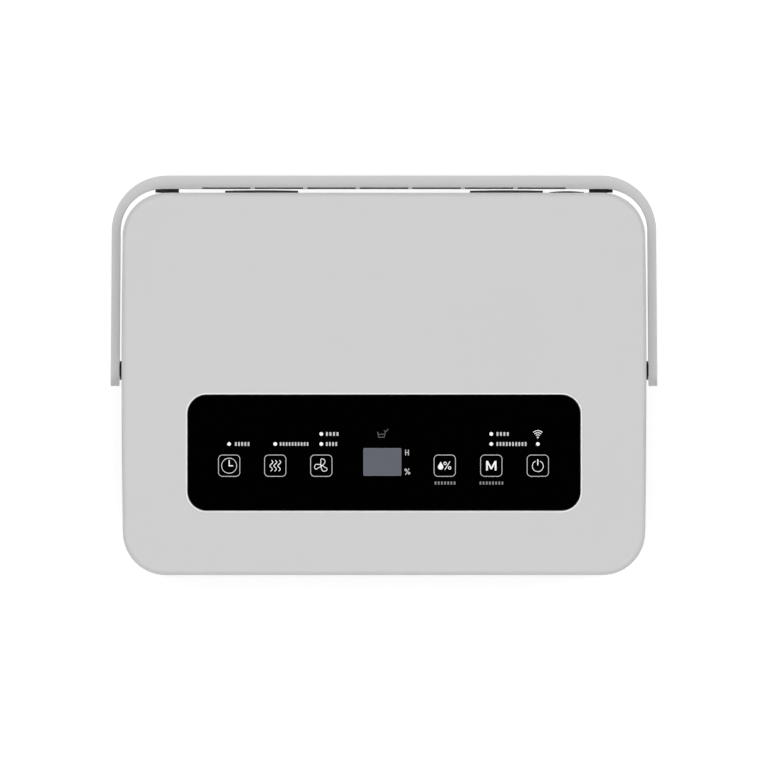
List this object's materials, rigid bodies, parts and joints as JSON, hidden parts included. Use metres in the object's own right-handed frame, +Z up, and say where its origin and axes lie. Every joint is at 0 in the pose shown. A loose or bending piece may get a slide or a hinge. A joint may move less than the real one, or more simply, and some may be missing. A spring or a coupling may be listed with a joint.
{
  "type": "dehumidifier",
  "caption": "Upright cabinet dehumidifier with a folding bail handle, a black touch panel on top, a front outlet flap, a pull-out water tank and a slotted rear inlet grille.",
  "frame": {"origin": "on the floor, under the middle of the box that holds the cabinet and the folded handle", "axes": "+Z up, front (outlet and tank) towards -Y, the folded handle bar and the inlet grille towards +Y, right side +X"},
  "size_m": [0.3658, 0.2674, 0.5],
  "materials": {
    "shell": "light grey moulded ABS with a very fine satin grain",
    "dark_trim": "dark grey moulded plastic, fine grain",
    "panel_black": "black gloss acrylic with printed legends",
    "rim_white": "near-white smooth plastic",
    "rubber": "dark grey rubber, matt",
    "hub_black": "black acetal",
    "tank_smoke": "smoked translucent plastic",
    "inner_plastic": "plain grey inner moulding",
    "filter_mesh": "dark nylon filter mesh on a plastic frame",
    "steel": "zinc-plated steel",
    "black_paint": "semi-gloss black paint on steel",
    "coil_fins": "thin aluminium fins",
    "copper": "bare copper tube",
    "circuit_board": "green glass-fibre board with parts"
  },
  "bodies": {
    "cabinet": {"front_casing": "shell", "rear_casing": "shell", "top_cover": "shell", "base_tray": "dark_trim", "pivot_cap_left": "dark_trim", "pivot_cap_right": "dark_trim", "outlet_duct": "dark_trim", "fan_scroll": "dark_trim", "panel_glass": "panel_black", "panel_rim": "rim_white", "foot_front_left": "rubber", "foot_front_right": "rubber", "foot_rear_left": "rubber", "foot_rear_right": "rubber", "handle_rest_left": "rubber", "handle_rest_right": "rubber", "cord_gland": "rubber", "compressor_grommet_1": "rubber", "compressor_grommet_2": "rubber", "compressor_grommet_3": "rubber", "pivot_hub_left": "hub_black", "pivot_hub_right": "hub_black", "mid_frame": "inner_plastic", "drip_tray": "inner_plastic", "display_module": "inner_plastic", "flap_motor": "inner_plastic", "tank_sensor": "inner_plastic", "casing_screw_lower_left": "steel", "casing_screw_upper_left": "steel", "casing_screw_lower_right": "steel", "casing_screw_upper_right": "steel", "run_capacitor": "steel", "fan_motor": "steel", "compressor": "black_paint", "condenser_coil": "coil_fins", "evaporator_coil": "coil_fins", "discharge_pipe": "copper", "suction_pipe": "copper", "capillary_tube": "copper", "display_board": "circuit_board", "main_board": "circuit_board", "humidity_sensor": "circuit_board"},
    "handle": {"handle_bail": "shell"},
    "flap": {"outlet_flap": "shell"},
    "tank": {"water_tank": "tank_smoke", "tank_front": "shell", "tank_lid": "dark_trim"},
    "float": {"tank_float": "rim_white"},
    "grille": {"inlet_grille": "dark_trim", "air_filter": "filter_mesh"},
    "fan": {"fan_impeller": "dark_trim"},
    "plug": {"drain_plug": "rubber"}
  },
  "joints": [
    {"name": "handle_swing", "type": "hinge", "parent": "cabinet", "child": "handle", "pos_m": [0, 0.0032, 0.475], "axis": [1, 0, 0], "range_deg": [0, 90]},
    {"name": "flap_tilt", "type": "hinge", "parent": "cabinet", "child": "flap", "pos_m": [0, -0.1307, 0.4086], "axis": [1, 0, 0], "range_deg": [0, 75]},
    {"name": "tank_slide", "type": "slide", "parent": "cabinet", "child": "tank", "axis": [0, -1, 0], "range_m": [0, 0.16]},
    {"name": "float_rise", "type": "hinge", "parent": "tank", "child": "float", "pos_m": [0, -0.0137, 0.17], "axis": [-1, 0, 0], "range_deg": [0, 18]},
    {"name": "grille_pull", "type": "slide", "parent": "cabinet", "child": "grille", "axis": [0, 1, 0], "range_m": [0, 0.06]},
    {"name": "fan_spin", "type": "hinge", "parent": "cabinet", "child": "fan", "pos_m": [0, -0.0058, 0.318], "axis": [0, -1, 0], "continuous": true},
    {"name": "plug_pull", "type": "slide", "parent": "cabinet", "child": "plug", "axis": [0, 1, 0], "range_m": [0, 0.025]}
  ]
}
